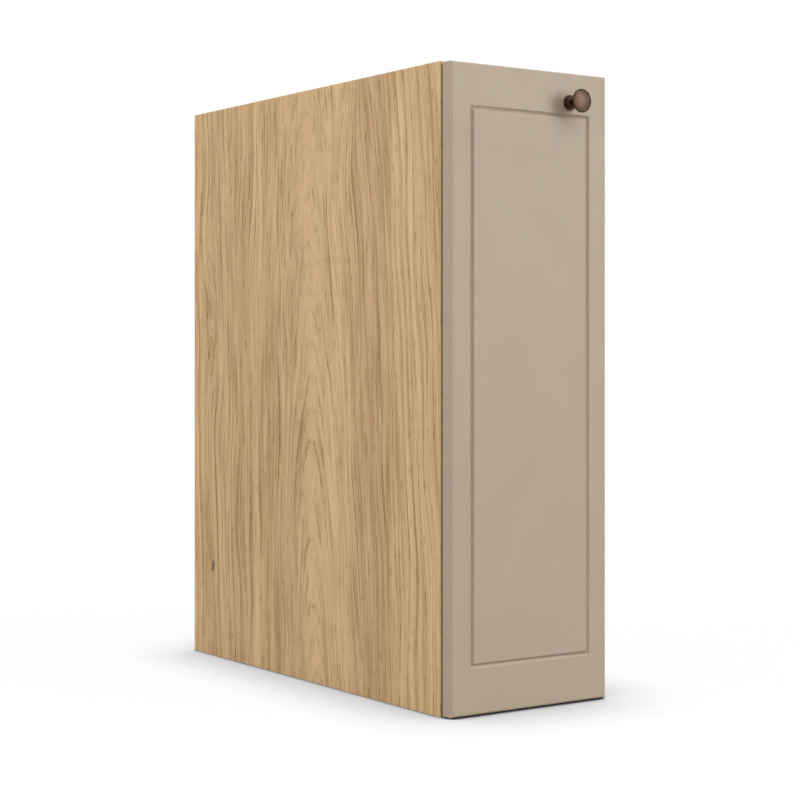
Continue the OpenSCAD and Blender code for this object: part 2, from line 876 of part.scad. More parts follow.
plate_screws(hinge_z[1]);  // upper_plate_screws
hinge_arm(hinge_z[1]);  // upper_arm
arm_screws(hinge_z[1]);  // upper_arm_screws
arm_pins(hinge_z[1]);  // upper_arm_pins
leaf_spring(hinge_z[1]);  // upper_spring
outer_link(hinge_z[1]);  // upper_outer_link
inner_link(hinge_z[1]);  // upper_inner_link
hinge_cup(hinge_z[1]);  // upper_cup
cup_pins(hinge_z[1]);  // upper_cup_pins
cup_screws(hinge_z[1]);  // upper_cup_screws
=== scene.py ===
import json
import math

import bmesh
import bpy
from bpy.props import FloatProperty, FloatVectorProperty, PointerProperty
from mathutils import Matrix, Vector

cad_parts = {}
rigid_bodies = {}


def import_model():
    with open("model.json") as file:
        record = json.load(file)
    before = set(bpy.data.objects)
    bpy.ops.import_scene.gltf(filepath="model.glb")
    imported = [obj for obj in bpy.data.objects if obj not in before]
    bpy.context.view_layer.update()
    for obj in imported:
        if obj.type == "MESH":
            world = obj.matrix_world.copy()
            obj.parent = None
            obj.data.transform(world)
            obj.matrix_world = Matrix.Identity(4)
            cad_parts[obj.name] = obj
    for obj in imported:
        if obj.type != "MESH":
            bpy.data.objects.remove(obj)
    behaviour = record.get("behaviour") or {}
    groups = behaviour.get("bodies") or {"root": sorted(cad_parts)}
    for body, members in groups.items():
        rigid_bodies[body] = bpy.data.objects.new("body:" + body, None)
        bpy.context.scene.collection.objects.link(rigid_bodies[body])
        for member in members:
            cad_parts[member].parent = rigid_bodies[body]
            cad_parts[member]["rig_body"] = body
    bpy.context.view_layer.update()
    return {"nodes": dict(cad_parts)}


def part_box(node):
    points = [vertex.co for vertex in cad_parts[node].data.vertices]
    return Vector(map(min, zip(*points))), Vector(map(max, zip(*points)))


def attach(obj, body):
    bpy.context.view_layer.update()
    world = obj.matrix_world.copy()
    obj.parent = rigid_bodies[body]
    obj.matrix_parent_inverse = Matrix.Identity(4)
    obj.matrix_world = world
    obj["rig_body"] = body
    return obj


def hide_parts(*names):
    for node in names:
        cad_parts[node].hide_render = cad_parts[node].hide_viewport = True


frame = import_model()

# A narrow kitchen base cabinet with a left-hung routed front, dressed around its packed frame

bl_info = {
    "name": "Narrow base cabinet",
    "version": (1, 0, 0),
    "blender": (4, 5, 0),
    "location": "3D View > Sidebar > Cabinet",
    "description": "Dresses a kitchen base cabinet: oak boards, routed front, bronze knob, hinges and studio",
    "category": "Object",
}

MM = 0.001

ACROSS_X = Vector((1, 0, 0))
UP = Vector((0, 0, 1))
TO_FRONT = Vector((0, -1, 0))
TO_REAR = Vector((0, 1, 0))

# Most that the grain wanders sideways, and the depth of the side over which its tones are given, in mm
BEND = 34
SIDE_DEPTH = 560

# Bends of the rings round knots on the left side, in mm: the place from its rear edge and the floor,
# the half width, the half length, and how far the rings are pushed
SIDE_KNOTS = [(51, 118, 18, 60, 11), (52, 440, 36, 150, 27), (366, 780, 50, 200, -40)]
# Dark eye of the small knot, in mm: its place, half width and half length, and how it leans
KNOT_EYE = (51, 118, 4.5, 10)
KNOT_LEAN = math.radians(8)

# How far the painted shade on the floor reaches from the cabinet, and how far its painted dark line at the
# cabinet's foot reaches
PAINTED_SHADE_REACH = 120 * MM
PAINTED_LINE_REACH = 20 * MM
# Half the width of the floor, in metres
FLOOR_HALF = 6
# Direction of each lamp from the cabinet, and how wide it looks from there, in degrees
LAMPS = {"key": ((0.56, -0.82, 0.13), 34), "top": ((0.15, -0.6, 0.79), 50), "fill": ((-1, 0.2, 0.15), 42)}
# Place of the camera in metres, and its shift in widths of the picture, fitted to the photographed view
CAMERA_PLACE = (-1.3088, -1.9109, 0.3987)
CAMERA_SHIFT = (0.03595, -0.0577)

# Numbers of the sockets of a colour Mix node, which have no names of their own
MIX_FACTOR, MIX_A, MIX_B, MIX_RESULT = 0, 6, 7, 2


def linear(hex_colour):
    """Linear red, green and blue of an sRGB hex colour."""
    channels = [int(hex_colour[i:i + 2], 16) / 255 for i in (1, 3, 5)]
    return [c / 12.92 if c <= 0.04045 else ((c + 0.055) / 1.055) ** 2.4 for c in channels]


def opaque(colour):
    """The colour with its alpha."""
    return (*colour, 1)


def add(tree, kind, values=None, stops=None, **settings):
    """A node with its settings, its inputs as values or links, and the stops of its ramp."""
    made = tree.nodes.new(kind)
    for name, setting in settings.items():
        setattr(made, name, setting)
    for socket, value in (values or {}).items():
        if isinstance(value, bpy.types.NodeSocket):
            tree.links.new(value, made.inputs[socket])
        else:
            made.inputs[socket].default_value = value
    if stops:
        ramp = made.color_ramp
        while len(ramp.elements) < len(stops):
            ramp.elements.new(1)
        for element, (position, tone) in zip(ramp.elements, stops):
            element.position = position
            element.color = opaque(tone) if hasattr(tone, "__len__") else (tone, tone, tone, 1)
    return made


class OakSettings(bpy.types.PropertyGroup):
    """Printed oak of the boards."""
    light: FloatVectorProperty(
        name="Light oak", description="Pale wood between the grain lines",
        default=linear("#eac68f"), subtype="COLOR")
    middle: FloatVectorProperty(
        name="Middle oak", description="Greyer wood in the broad bands",
        default=linear("#d1ab80"), subtype="COLOR")
    grain: FloatVectorProperty(
        name="Grain line", description="Late wood in the grain lines",
        default=linear("#9b7442"), subtype="COLOR")
    pore: FloatVectorProperty(
        name="Pore", description="Open pores and the small knot",
        default=linear("#72522f"), subtype="COLOR")
    ring: FloatProperty(
        name="Ring spacing (mm)", description="Distance between two year rings",
        default=3.7, min=0.5, max=6)
    taper: FloatProperty(
        name="Taper", description="How fast the rings climb through the board",
        default=0.0925, min=0.02, max=0.5)
    softening: FloatProperty(
        name="Board edge", description="Rounding of the board edges",
        default=0.35 * MM, min=0.1 * MM, max=1 * MM, unit="LENGTH")


class FrontSettings(bpy.types.PropertyGroup):
    """Foil of the routed front."""
    colour: FloatVectorProperty(
        name="Front", description="Taupe of the matt foil", default=linear("#b19e89"), subtype="COLOR")
    roughness: FloatProperty(
        name="Roughness", description="Mattness of the foil", default=0.55, min=0.1, max=1)
    softening: FloatProperty(
        name="Groove lip", description="Rounding of the routed lips",
        default=0.45 * MM, min=0.1 * MM, max=1 * MM, unit="LENGTH")


class MetalSettings(bpy.types.PropertyGroup):
    """Metals of the knob, the hinges and the fittings."""
    bronze: FloatVectorProperty(
        name="Bronze", description="Rubbed faces of the knob", default=linear("#56463a"), subtype="COLOR")
    patina: FloatVectorProperty(
        name="Patina", description="Dark patina in the knob's hollows",
        default=linear("#2e241b"), subtype="COLOR")
    nickel: FloatVectorProperty(
        name="Nickel", description="Plating of the hinges", default=linear("#cbc7bf"), subtype="COLOR")
    zinc: FloatVectorProperty(
        name="Zinc", description="Plating of screws, bolts and locks",
        default=linear("#c3c6ca"), subtype="COLOR")
    steel: FloatVectorProperty(
        name="Spring steel", description="Springs and hinge pins", default=linear("#8f9194"), subtype="COLOR")
    softening: FloatProperty(
        name="Metal edge", description="Rounding of pressed and cast edges",
        default=0.12 * MM, min=0.02 * MM, max=0.4 * MM, unit="LENGTH")


class StudioSettings(bpy.types.PropertyGroup):
    """Floor, lamps and camera."""
    floor: FloatVectorProperty(
        name="Floor", description="Plain white floor, as the camera sees it",
        default=linear("#fbfbfb"), subtype="COLOR")
    bounce: FloatVectorProperty(
        name="Floor bounce", description="Grey of the floor for the light that it throws back on the cabinet",
        default=linear("#808080"), subtype="COLOR")
    horizon: FloatProperty(
        name="Horizon light", description="Strength of the light from the level", default=0.27, min=0, max=2)
    zenith: FloatProperty(
        name="Zenith light", description="Strength of the light from straight above",
        default=0.75, min=0, max=2)
    key: FloatProperty(
        name="Key lamp", description="Strength of the soft lamp in front, to the right",
        default=1.5, min=0, max=10)
    top: FloatProperty(
        name="Top lamp", description="Strength of the broad lamp above, in front",
        default=1.15, min=0, max=10)
    fill: FloatProperty(
        name="Fill lamp", description="Strength of the soft lamp on the left side",
        default=1.68, min=0, max=10)
    # The lifted share is a white glow with painted shade and a painted dark line near the cabinet
    lift: FloatProperty(
        name="Floor lift", description="Share of the floor that is seen as white but for its corners",
        default=0.93, min=0, max=1)
    lens: FloatProperty(
        name="Lens (mm)", description="Focal length on a 36 mm sensor", default=82.952, min=10, max=300)
    azimuth: FloatProperty(
        name="Camera turn", description="Turn of the level camera about the vertical",
        default=math.radians(-34.1076), subtype="ANGLE")


SETTINGS = {
    "cabinet_oak": OakSettings,
    "cabinet_front": FrontSettings,
    "cabinet_metal": MetalSettings,
    "cabinet_studio": StudioSettings,
}


# Materials

def surface(name, **inputs):
    """A new material, its node tree and its shader. The inputs are the shader's own constants."""
    made = bpy.data.materials.new(name)
    made.use_nodes = True
    tree = made.node_tree
    tree.nodes.clear()
    values = {key.replace("_", " "): value for key, value in inputs.items()}
    shader = add(tree, "ShaderNodeBsdfPrincipled", values)
    add(tree, "ShaderNodeOutputMaterial", {"Surface": shader.outputs["BSDF"]})
    return made, tree, shader


def wired(tree, shader, **outputs):
    """Links these outputs to the shader's sockets."""
    for socket, output in outputs.items():
        tree.links.new(output, shader.inputs[socket.replace("_", " ")])


def millimetres(tree, across=ACROSS_X, along=TO_REAR, start=(0, 0, 0)):
    """Object coordinates in mm, turned so that X runs across a pattern and Y along it."""
    place = add(tree, "ShaderNodeTexCoord").outputs["Object"]
    turn = Matrix((across, along, across.cross(along))).to_euler()
    return add(tree, "ShaderNodeMapping", {
        "Vector": place, "Rotation": turn, "Scale": (1 / MM, 1 / MM, 1 / MM), "Location": start,
    }).outputs["Vector"]


def drawn_out(tree, sheet, width, length, **noise):
    """Noise in streaks of this width and length in mm, along the pattern's Y."""
    place = add(tree, "ShaderNodeMapping", {
        "Vector": sheet, "Scale": (1 / width, 1 / length, 1 / width),
    }).outputs["Vector"]
    return add(tree, "ShaderNodeTexNoise", {"Vector": place, "Scale": 1.0, **noise})


def year_rings(tree, sheet, figure, knots):
    """Distance in mm through the year rings, their slope, and a place whose X runs across the grain lines.

    The rings are a leaning cone round the pith, bent round the knots.
    """
    oak = bpy.context.scene.cabinet_oak
    middle, depth, lean = figure
    wander = drawn_out(tree, sheet, 60, 230, Detail=1.0, Roughness=0.35).outputs["Color"]
    bent = add(tree, "ShaderNodeVectorMath", {
        0: wander, 1: (BEND, 0, 0), 2: sheet}, operation="MULTIPLY_ADD").outputs["Vector"]
    across = add(tree, "ShaderNodeVectorMath", {0: bent, 1: (1, lean, 0)}, operation="DOT_PRODUCT")
    inward = add(tree, "ShaderNodeVectorMath", {0: bent, 1: (0, oak.taper, 0)}, operation="DOT_PRODUCT")
    cone = add(tree, "ShaderNodeCombineXYZ", {"X": across.outputs["Value"], "Y": inward.outputs["Value"]})
    placed = add(tree, "ShaderNodeVectorMath", {
        0: cone.outputs["Vector"], 1: (-middle - BEND / 2, depth, 0)}, operation="ADD").outputs["Vector"]
    rings = add(tree, "ShaderNodeVectorMath", {0: placed}, operation="LENGTH").outputs["Value"]
    outward = add(tree, "ShaderNodeSeparateXYZ", {"Vector": placed}).outputs["X"]
    away = add(tree, "ShaderNodeMath", {0: outward, 1: rings}, operation="DIVIDE").outputs["Value"]
    steps = add(tree, "ShaderNodeCombineXYZ", {"X": away, "Y": oak.taper}).outputs["Vector"]
    slope = add(tree, "ShaderNodeVectorMath", {0: steps}, operation="LENGTH").outputs["Value"]
    for knot_u, knot_v, half_width, half_length, swell in knots:
        near = add(tree, "ShaderNodeMapping", {
            "Vector": bent,
            "Scale": (1 / half_width, 1 / half_length, 0),
            "Location": (-(knot_u + BEND / 2) / half_width, -knot_v / half_length, 0),
        }).outputs["Vector"]
        bump = add(tree, "ShaderNodeTexGradient", {"Vector": near}, gradient_type="QUADRATIC_SPHERE")
        rings = add(tree, "ShaderNodeMath", {
            0: bump.outputs["Fac"], 1: swell, 2: rings}, operation="MULTIPLY_ADD").outputs["Value"]
    along = add(tree, "ShaderNodeSeparateXYZ", {"Vector": sheet}).outputs["Y"]
    apart = add(tree, "ShaderNodeMath", {0: outward, 1: 0.25}, operation="MULTIPLY").outputs["Value"]
    lines = add(tree, "ShaderNodeCombineXYZ", {"X": rings, "Y": along, "Z": apart}).outputs["Vector"]
    return rings, slope, lines


def late_wood(tree, rings, slope, spacing, width, bias):
    """Dark late wood of one set of rings: lines a few mm wide, sharp on one side, some strong, most faint."""
    count = add(tree, "ShaderNodeMath", {0: rings, 1: 1 / spacing}, operation="MULTIPLY").outputs["Value"]
    within = add(tree, "ShaderNodeMath", {0: count}, operation="FRACT").outputs["Value"]
    which = add(tree, "ShaderNodeMath", {0: count}, operation="FLOOR").outputs["Value"]
    reach = add(tree, "ShaderNodeMath", {0: within, 1: slope}, operation="DIVIDE").outputs["Value"]
    line = add(tree, "ShaderNodeMapRange", {
        "Value": reach, "From Max": width / spacing, "To Min": 1.0, "To Max": 0.0}).outputs["Result"]
    chance = add(tree, "ShaderNodeTexWhiteNoise", {"W": which}, noise_dimensions="1D").outputs["Value"]
    strength = add(tree, "ShaderNodeMath", {0: chance, 1: bias}, operation="POWER").outputs["Value"]
    return add(tree, "ShaderNodeMath", {0: line, 1: strength}, operation="MULTIPLY").outputs["Value"]


def oak_print(tree, sheet, figure, knots, tones):
    """Colour, darkness of the pores and height of printed and embossed oak."""
    oak = bpy.context.scene.cabinet_oak
    rings, slope, lines = year_rings(tree, sheet, figure, knots)
    cloud = drawn_out(tree, sheet, 22, 220, Detail=2.0).outputs["Fac"]
    # Slow change of tone across the sheet
    sideways = add(tree, "ShaderNodeSeparateXYZ", {"Vector": sheet}).outputs["X"]
    share = add(tree, "ShaderNodeMath", {
        0: sideways, 1: 1 / SIDE_DEPTH}, operation="MULTIPLY").outputs["Value"]
    swayed = add(tree, "ShaderNodeMath", {
        0: cloud, 1: 0.08, 2: share}, operation="MULTIPLY_ADD").outputs["Value"]
    tone = add(tree, "ShaderNodeValToRGB", {"Fac": swayed}, stops=tones).outputs["Color"]
    # The pores leave the lines ragged
    ragged = drawn_out(tree, sheet, 2.5, 16, Detail=2.0).outputs["Fac"]
    uneven = add(tree, "ShaderNodeMath", {
        0: ragged, 1: 2.2, 2: rings}, operation="MULTIPLY_ADD").outputs["Value"]
    strong = late_wood(tree, uneven, slope, oak.ring, 4.2, 1.0)
    faint = late_wood(tree, uneven, slope, oak.ring / 3.3, 2.0, 1.2)
    both = add(tree, "ShaderNodeMath", {
        0: faint, 1: 0.3, 2: strong}, operation="MULTIPLY_ADD").outputs["Value"]
    # A line breaks off and comes back along its length
    patch = drawn_out(tree, lines, 7, 110, Detail=2.0).outputs["Fac"]
    shown = add(tree, "ShaderNodeMapRange", {
        "Value": patch, "From Min": 0.4, "From Max": 0.6, "To Min": 0.1, "To Max": 0.9}).outputs["Result"]
    broken = add(tree, "ShaderNodeMath", {0: both, 1: shown}, operation="MULTIPLY").outputs["Value"]
    # Streaks that follow the rings, from broad growth bands to threads: where each starts and is full,
    # and how dark it gets. They calm down where the rings lie flat.
    steep = add(tree, "ShaderNodeMapRange", {
        "Value": slope, "From Min": 0.15, "From Max": 0.6, "To Min": 0.3}).outputs["Result"]
    layers = [
        (drawn_out(tree, lines, 10, 520, Detail=1.0).outputs["Fac"], 0.42, 0.66, 0.18),
        (drawn_out(tree, lines, 2.6, 380, Detail=1.0, Roughness=0.5).outputs["Fac"], 0.5, 0.69, 0.27),
        (drawn_out(tree, lines, 1.1, 280, Detail=1.0, Roughness=0.5).outputs["Fac"], 0.53, 0.67, 0.32),
        (drawn_out(tree, lines, 2.2, 420, Detail=0.0).outputs["Fac"], 0.66, 0.72, 0.42)]
    darkness = 0.0
    for mask, low, high, depth in layers:
        streak = add(tree, "ShaderNodeMapRange", {
            "Value": mask, "From Min": low, "From Max": high, "To Max": depth}).outputs["Result"]
        darkness = add(tree, "ShaderNodeMath", {0: darkness, 1: streak}, operation="ADD").outputs["Value"]
    darkness = add(tree, "ShaderNodeMath", {0: darkness, 1: steep}, operation="MULTIPLY").outputs["Value"]
    # The broken lines and straight fibres lie over the streaks
    fibre = drawn_out(tree, sheet, 0.8, 60, Detail=2.0, Roughness=0.6).outputs["Fac"]
    fibrous = add(tree, "ShaderNodeMapRange", {
        "Value": fibre, "From Min": 0.46, "From Max": 0.74, "To Max": 0.34}).outputs["Result"]
    for line, depth in ((broken, 0.95), (fibrous, 1.0)):
        darkness = add(tree, "ShaderNodeMath", {
            0: line, 1: depth, 2: darkness}, operation="MULTIPLY_ADD").outputs["Value"]
    # Pale bands of the sheet are calm, dark ones are full of lines
    stress = add(tree, "ShaderNodeMath", {0: tone, 1: 0.4, 2: 0.8}, operation="MULTIPLY_ADD").outputs["Value"]
    lined = add(tree, "ShaderNodeMath", {
        0: darkness, 1: stress}, operation="MULTIPLY", use_clamp=True).outputs["Value"]
    # Dashes of open pores gather in the dark wood
    dash = drawn_out(tree, sheet, 1.7, 20, Detail=1.0, Roughness=0.5).outputs["Fac"]
    pores = add(tree, "ShaderNodeValToRGB", {"Fac": dash}, stops=[(0.64, 0.0), (0.70, 1.0)]).outputs["Color"]
    greyed = add(tree, "ShaderNodeMath", {0: cloud, 1: 0.6, 2: tone}, operation="MULTIPLY_ADD")
    base_share = add(tree, "ShaderNodeMapRange", {
        "Value": greyed.outputs["Value"], "From Min": -0.06, "From Max": 1.59}).outputs["Result"]
    base = add(tree, "ShaderNodeMix", {
        MIX_FACTOR: base_share, MIX_A: opaque(oak.light), MIX_B: opaque(oak.middle)}, data_type="RGBA")
    grained = add(tree, "ShaderNodeMix", {
        MIX_FACTOR: lined, MIX_A: base.outputs[MIX_RESULT], MIX_B: opaque(oak.grain)}, data_type="RGBA")
    gathered = add(tree, "ShaderNodeMath", {
        0: lined, 1: 0.75, 2: 0.2}, operation="MULTIPLY_ADD").outputs["Value"]
    pore_share = add(tree, "ShaderNodeMath", {0: pores, 1: gathered}, operation="MULTIPLY").outputs["Value"]
    colour = add(tree, "ShaderNodeMix", {
        MIX_FACTOR: pore_share, MIX_A: grained.outputs[MIX_RESULT], MIX_B: opaque(oak.pore),
    }, data_type="RGBA")
    return colour.outputs[MIX_RESULT], pore_share, fibre


def knot_spot(tree, sheet, colour, place):
    """The dark eye of a small knot on the printed sheet."""
    knot_u, knot_v, half_width, half_length = place
    leaning = add(tree, "ShaderNodeMapping", {
        "Vector": sheet, "Rotation": (0, 0, KNOT_LEAN), "Scale": (1, 1, 0)}).outputs["Vector"]
    middle = Matrix.Rotation(KNOT_LEAN, 3, "Z") @ Vector((knot_u, knot_v, 0))
    near = add(tree, "ShaderNodeMapping", {
        "Vector": leaning,
        "Scale": (1 / half_width, 1 / half_length, 0),
        "Location": (-middle.x / half_width, -middle.y / half_length, 0),
    }).outputs["Vector"]
    eye = add(tree, "ShaderNodeTexGradient", {"Vector": near}, gradient_type="SPHERICAL").outputs["Fac"]
    share = add(tree, "ShaderNodeMapRange", {
        "Value": eye, "From Max": 0.5, "To Max": 0.92}).outputs["Result"]
    spotted = add(tree, "ShaderNodeMix", {
        MIX_FACTOR: share, MIX_A: colour, MIX_B: opaque(linear("#4a3826"))}, data_type="RGBA")
    return spotted.outputs[MIX_RESULT]


def chipboard(tree):
    """Colour of sawn particle board: pale flakes of a few mm with dark specks between them."""
    sheet = millimetres(tree)
    flakes = add(tree, "ShaderNodeTexVoronoi", {"Vector": sheet, "Scale": 0.45, "Randomness": 1.0})
    grit = add(tree, "ShaderNodeTexNoise", {"Vector": sheet, "Scale": 1.4, "Detail": 3.0}).outputs["Fac"]
    flake = add(tree, "ShaderNodeSeparateColor", {"Color": flakes.outputs["Color"]}).outputs["Red"]
    mixed = add(tree, "ShaderNodeMath", {0: flake, 1: grit}, operation="MULTIPLY").outputs["Value"]
    return add(tree, "ShaderNodeValToRGB", {"Fac": mixed}, stops=[
        (0.0, linear("#8a6b48")), (0.2, linear("#b9966a")), (0.5, linear("#d3b58a")),
        (0.8, linear("#e0c9a2"))]).outputs["Color"]


# Tone of the sheet from rear to front: 0 is pale and golden, 1 is the grey brown of the broad bands
SIDE_TONES = [
    (0.00, 0.6), (0.04, 0.1), (0.09, 0.3), (0.15, 0.8), (0.18, 0.1), (0.23, 0.7), (0.29, 0.6), (0.33, 0.15),
    (0.40, 0.6), (0.52, 0.7), (0.61, 0.4), (0.645, 0.0), (0.71, 0.15), (0.75, 0.8), (0.85, 1.0), (0.88, 0.1),
    (0.95, 0.0), (1.0, 0.05)]


def oak_board(name, across, along, start, figure, knots=(), tones=None, spot=None, cut_edges=True):
    """Particle board faced with printed, embossed oak: satin, with dull pores. Its sawn edges are bare."""
    made, tree, shader = surface(name)
    sheet = millimetres(tree, across, along, start)
    colour, pores, fibre = oak_print(tree, sheet, figure, knots, tones or SIDE_TONES)
    if spot:
        colour = knot_spot(tree, sheet, colour, spot)
    rough = add(tree, "ShaderNodeMapRange", {
        "Value": pores, "To Min": 0.58, "To Max": 0.8}).outputs["Result"]
    height = add(tree, "ShaderNodeMath", {0: fibre, 1: pores}, operation="SUBTRACT").outputs["Value"]
    if cut_edges:
        # The printed sheet covers the two broad faces, whose normals lie across the board
        normal = add(tree, "ShaderNodeTexCoord").outputs["Normal"]
        facing = add(tree, "ShaderNodeVectorMath", {
            0: normal, 1: across.cross(along)}, operation="DOT_PRODUCT").outputs["Value"]
        away = add(tree, "ShaderNodeMath", {0: facing}, operation="ABSOLUTE").outputs["Value"]
        face = add(tree, "ShaderNodeMath", {0: away, 1: 0.6}, operation="GREATER_THAN").outputs["Value"]
        colour = add(tree, "ShaderNodeMix", {
            MIX_FACTOR: face, MIX_A: chipboard(tree), MIX_B: colour}, data_type="RGBA").outputs[MIX_RESULT]
        rough = add(tree, "ShaderNodeMapRange", {
            "Value": face, "To Min": 0.9, "To Max": rough}).outputs["Result"]
    # Embossed pores are a few hundredths of a millimetre deep
    bump = add(tree, "ShaderNodeBump", {"Strength": 0.2, "Distance": 0.03 * MM, "Height": height})
    wired(tree, shader, Base_Color=colour, Roughness=rough, Normal=bump.outputs["Normal"])
    return made


def side_oak(name, mirrored=False):
    """Oak of an upright side, with its cathedral figure up the middle."""
    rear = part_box("left_side_panel")[1].y / MM
    if mirrored:
        return oak_board(name, TO_REAR, UP, (rear + 620, -240, 5), (870, 60, 0.03),
                         knots=[(1120, 200, 60, 260, 10)],
                         tones=[(0.0, 0.3), (0.35, 0.8), (0.6, 0.2), (1.0, 0.6)])
    return oak_board(name, TO_FRONT, UP, (rear, 0, 0), (307, 20, 0.041), knots=SIDE_KNOTS, spot=KNOT_EYE)


def level_oak(name, shift):
    """Oak of the level boards, whose grain runs from side to side."""
    return oak_board(name, TO_REAR, ACROSS_X, (900 + shift, 300, 0), (700, 80, 0.02),
                     tones=[(0.0, 0.4), (0.8, 0.7), (1.6, 0.2)])


def oak_band(name, along, start):
    """Edge band of printed oak in thin plastic: the same satin print with no bare edge."""
    across = ACROSS_X if along is UP else UP
    return oak_board(name, across, along, start, (400, 90, 0), cut_edges=False,
                     tones=[(0.0, 0.5), (1.0, 0.5)])


def printed_hardboard(name):
    """Hardboard, lacquered in oak inside and bare behind: dark brown, smooth and faintly mottled."""
    made, tree, shader = surface(name)
    sheet = millimetres(tree, ACROSS_X, UP, (1030, 0, 0))
    colour, pores, fibre = oak_print(tree, sheet, (760, 70, 0.02), [], [(0.0, 0.3), (1.0, 0.5)])
    mottle = add(tree, "ShaderNodeTexNoise", {
        "Vector": sheet, "Scale": 0.25, "Detail": 6.0, "Roughness": 0.7})
    bare = add(tree, "ShaderNodeValToRGB", {"Fac": mottle.outputs["Fac"]}, stops=[
        (0.3, linear("#7a5a3c")), (0.7, linear("#96734f"))]).outputs["Color"]
    normal = add(tree, "ShaderNodeTexCoord").outputs["Normal"]
    facing = add(tree, "ShaderNodeVectorMath", {
        0: normal, 1: TO_FRONT}, operation="DOT_PRODUCT").outputs["Value"]
    inner = add(tree, "ShaderNodeMath", {0: facing, 1: 0.6}, operation="GREATER_THAN").outputs["Value"]
    shown = add(tree, "ShaderNodeMix", {MIX_FACTOR: inner, MIX_A: bare, MIX_B: colour}, data_type="RGBA")
    rough = add(tree, "ShaderNodeMapRange", {"Value": inner, "To Min": 0.7, "To Max": 0.5}).outputs["Result"]
    wired(tree, shader, Base_Color=shown.outputs[MIX_RESULT], Roughness=rough)
    return made


def seen_directly(tree):
    """1 where a background is seen directly, in metal or through glass, and 0 where it lights the cabinet."""
    ray = add(tree, "ShaderNodeLightPath")
    seen = add(tree, "ShaderNodeMath", {
        0: ray.outputs["Is Camera Ray"], 1: ray.outputs["Is Glossy Ray"],
    }, operation="MAXIMUM").outputs["Value"]
    return add(tree, "ShaderNodeMath", {
        0: seen, 1: ray.outputs["Is Transmission Ray"]}, operation="MAXIMUM").outputs["Value"]


def matt_foil(name):
    """Matt foil pressed over routed fibreboard: even taupe with a soft sheen and a faint orange peel."""
    front = bpy.context.scene.cabinet_front
    made, tree, shader = surface(name, Roughness=front.roughness)
    sheet = millimetres(tree, ACROSS_X, UP)
    # Clouds of 60 mm, and an orange peel drawn at 1.2 mm so that it can show
    cloud = add(tree, "ShaderNodeTexNoise", {"Vector": sheet, "Scale": 1 / 60, "Detail": 3.0}).outputs["Fac"]
    peel = add(tree, "ShaderNodeTexNoise", {"Vector": sheet, "Scale": 1 / 1.2, "Detail": 2.0}).outputs["Fac"]
    darker = [c * 0.955 for c in front.colour]
    colour = add(tree, "ShaderNodeMix", {
        MIX_FACTOR: cloud, MIX_A: opaque(front.colour), MIX_B: opaque(darker)}, data_type="RGBA")
    rough = add(tree, "ShaderNodeMapRange", {
        "Value": cloud, "To Min": front.roughness - 0.06, "To Max": front.roughness + 0.06}).outputs["Result"]
    bump = add(tree, "ShaderNodeBump", {"Strength": 0.25, "Distance": 0.02 * MM, "Height": peel})
    wired(tree, shader, Base_Color=colour.outputs[MIX_RESULT], Roughness=rough, Normal=bump.outputs["Normal"])
    return made


def antique_bronze(name, centre, head_r, rim_height):
    """Cast brass, blackened: near black in the neck and at the rim, rubbed to a mauve brown on its face."""
    metal = bpy.context.scene.cabinet_metal
    made, tree, shader = surface(name, Metallic=1.0)
    place = add(tree, "ShaderNodeTexCoord").outputs["Object"]
    from_axis = add(tree, "ShaderNodeMapping", {
        "Vector": place, "Scale": (1 / MM, 0, 1 / MM), "Location": (-centre.x / MM, 0, -centre.z / MM)})
    radius = add(tree, "ShaderNodeVectorMath", {0: from_axis.outputs["Vector"]}, operation="LENGTH")
    inside = add(tree, "ShaderNodeMapRange", {
        "Value": radius.outputs["Value"], "From Min": head_r * 0.82, "From Max": head_r * 0.92,
        "To Min": 1.0, "To Max": 0.0}).outputs["Result"]
    depth = add(tree, "ShaderNodeSeparateXYZ", {"Vector": place}).outputs["Y"]
    face = add(tree, "ShaderNodeMapRange", {
        "Value": depth,
        "From Min": centre.y - (rim_height + 1.2) * MM, "From Max": centre.y - rim_height * MM,
        "To Min": 1.0, "To Max": 0.0}).outputs["Result"]
    worn = add(tree, "ShaderNodeMath", {0: inside, 1: face}, operation="MULTIPLY").outputs["Value"]
    sheet = millimetres(tree)
    # Broad clouds of patina, and the worn crests of the mouldings
    clouds = add(tree, "ShaderNodeTexNoise", {"Vector": sheet, "Scale": 1 / 9, "Detail": 2.0}).outputs["Fac"]
    rubbed = add(tree, "ShaderNodeMapRange", {
        "Value": clouds, "From Min": 0.3, "From Max": 0.7, "To Min": 0.72, "To Max": 1.0}).outputs["Result"]
    crest = add(tree, "ShaderNodeNewGeometry").outputs["Pointiness"]
    raised = add(tree, "ShaderNodeMapRange", {
        "Value": crest, "From Min": 0.48, "From Max": 0.54, "To Max": 0.7}).outputs["Result"]
    bare = add(tree, "ShaderNodeMath", {0: worn, 1: raised}, operation="MAXIMUM").outputs["Value"]
    clear = add(tree, "ShaderNodeMath", {0: bare, 1: rubbed}, operation="MULTIPLY").outputs["Value"]
    colour = add(tree, "ShaderNodeMix", {
        MIX_FACTOR: clear, MIX_A: opaque(metal.patina), MIX_B: opaque(metal.bronze)}, data_type="RGBA")
    rough = add(tree, "ShaderNodeMapRange", {"Value": clear, "To Min": 0.48, "To Max": 0.4}).outputs["Result"]
    # Casting grain of 0.4 mm
    grain = add(tree, "ShaderNodeTexNoise", {
        "Vector": sheet, "Scale": 1 / 0.4, "Detail": 3.0}).outputs["Fac"]
    bump = add(tree, "ShaderNodeBump", {"Strength": 0.2, "Distance": 0.02 * MM, "Height": grain})
    wired(tree, shader, Base_Color=colour.outputs[MIX_RESULT], Roughness=rough, Normal=bump.outputs["Normal"])
    return made


